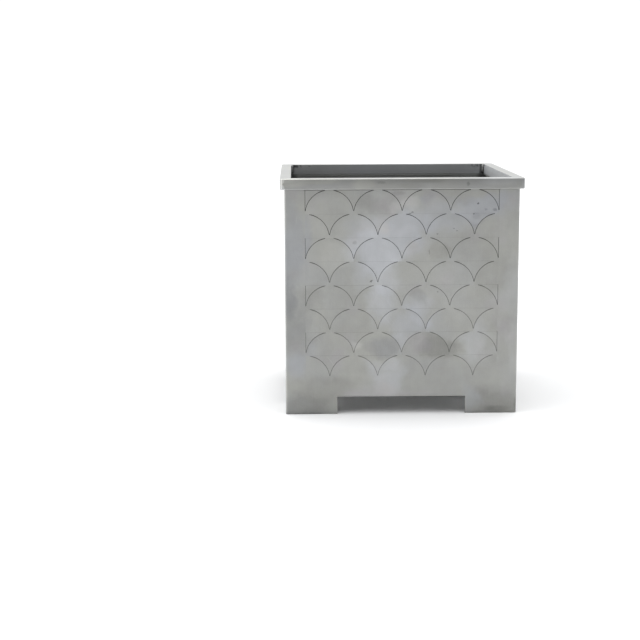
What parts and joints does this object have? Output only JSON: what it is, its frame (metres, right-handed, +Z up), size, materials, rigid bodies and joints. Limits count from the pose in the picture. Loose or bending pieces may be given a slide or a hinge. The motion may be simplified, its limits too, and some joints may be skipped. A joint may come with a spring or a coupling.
{
  "type": "planter",
  "caption": "Square floor planter of engraved aluminium plate with fish-scale arcs, a mitred square-tube rim, notched feet, an inner angle frame and a lift-out drained floor.",
  "frame": {"origin": "middle of the footprint, on the ground", "axes": "+Z up, -Y to the front, +X to the right as seen from the front"},
  "size_m": [0.55, 0.55, 0.541],
  "materials": {
    "engraved_panel": "matt mill plate with cloudy patches and engraved lines",
    "rim_tube": "matt mill tube with dressed corners",
    "inner_angle": "mill extrusion",
    "floor_plate": "mill plate",
    "screw_steel": "stainless"
  },
  "bodies": {
    "planter_box": {"front_panel": "engraved_panel", "front_rim_rail": "rim_tube", "front_rim_angle": "inner_angle", "front_floor_ledge": "inner_angle", "right_panel": "engraved_panel", "right_rim_rail": "rim_tube", "right_rim_angle": "inner_angle", "right_floor_ledge": "inner_angle", "back_panel": "engraved_panel", "back_rim_rail": "rim_tube", "back_rim_angle": "inner_angle", "back_floor_ledge": "inner_angle", "left_panel": "engraved_panel", "left_rim_rail": "rim_tube", "left_rim_angle": "inner_angle", "left_floor_ledge": "inner_angle", "front_right_rim_key": "inner_angle", "front_right_corner_angle": "inner_angle", "back_right_rim_key": "inner_angle", "back_right_corner_angle": "inner_angle", "back_left_rim_key": "inner_angle", "back_left_corner_angle": "inner_angle", "front_left_rim_key": "inner_angle", "front_left_corner_angle": "inner_angle", "corner_angle_screws": "screw_steel", "rim_angle_screws": "screw_steel", "ledge_screws": "screw_steel", "rim_rail_screws": "screw_steel"},
    "floor": {"floor_plate": "floor_plate"}
  },
  "joints": [
    {"name": "floor_lift", "type": "slide", "parent": "planter_box", "child": "floor", "axis": [0, 0, 1], "range_m": [0, 0.48]}
  ]
}
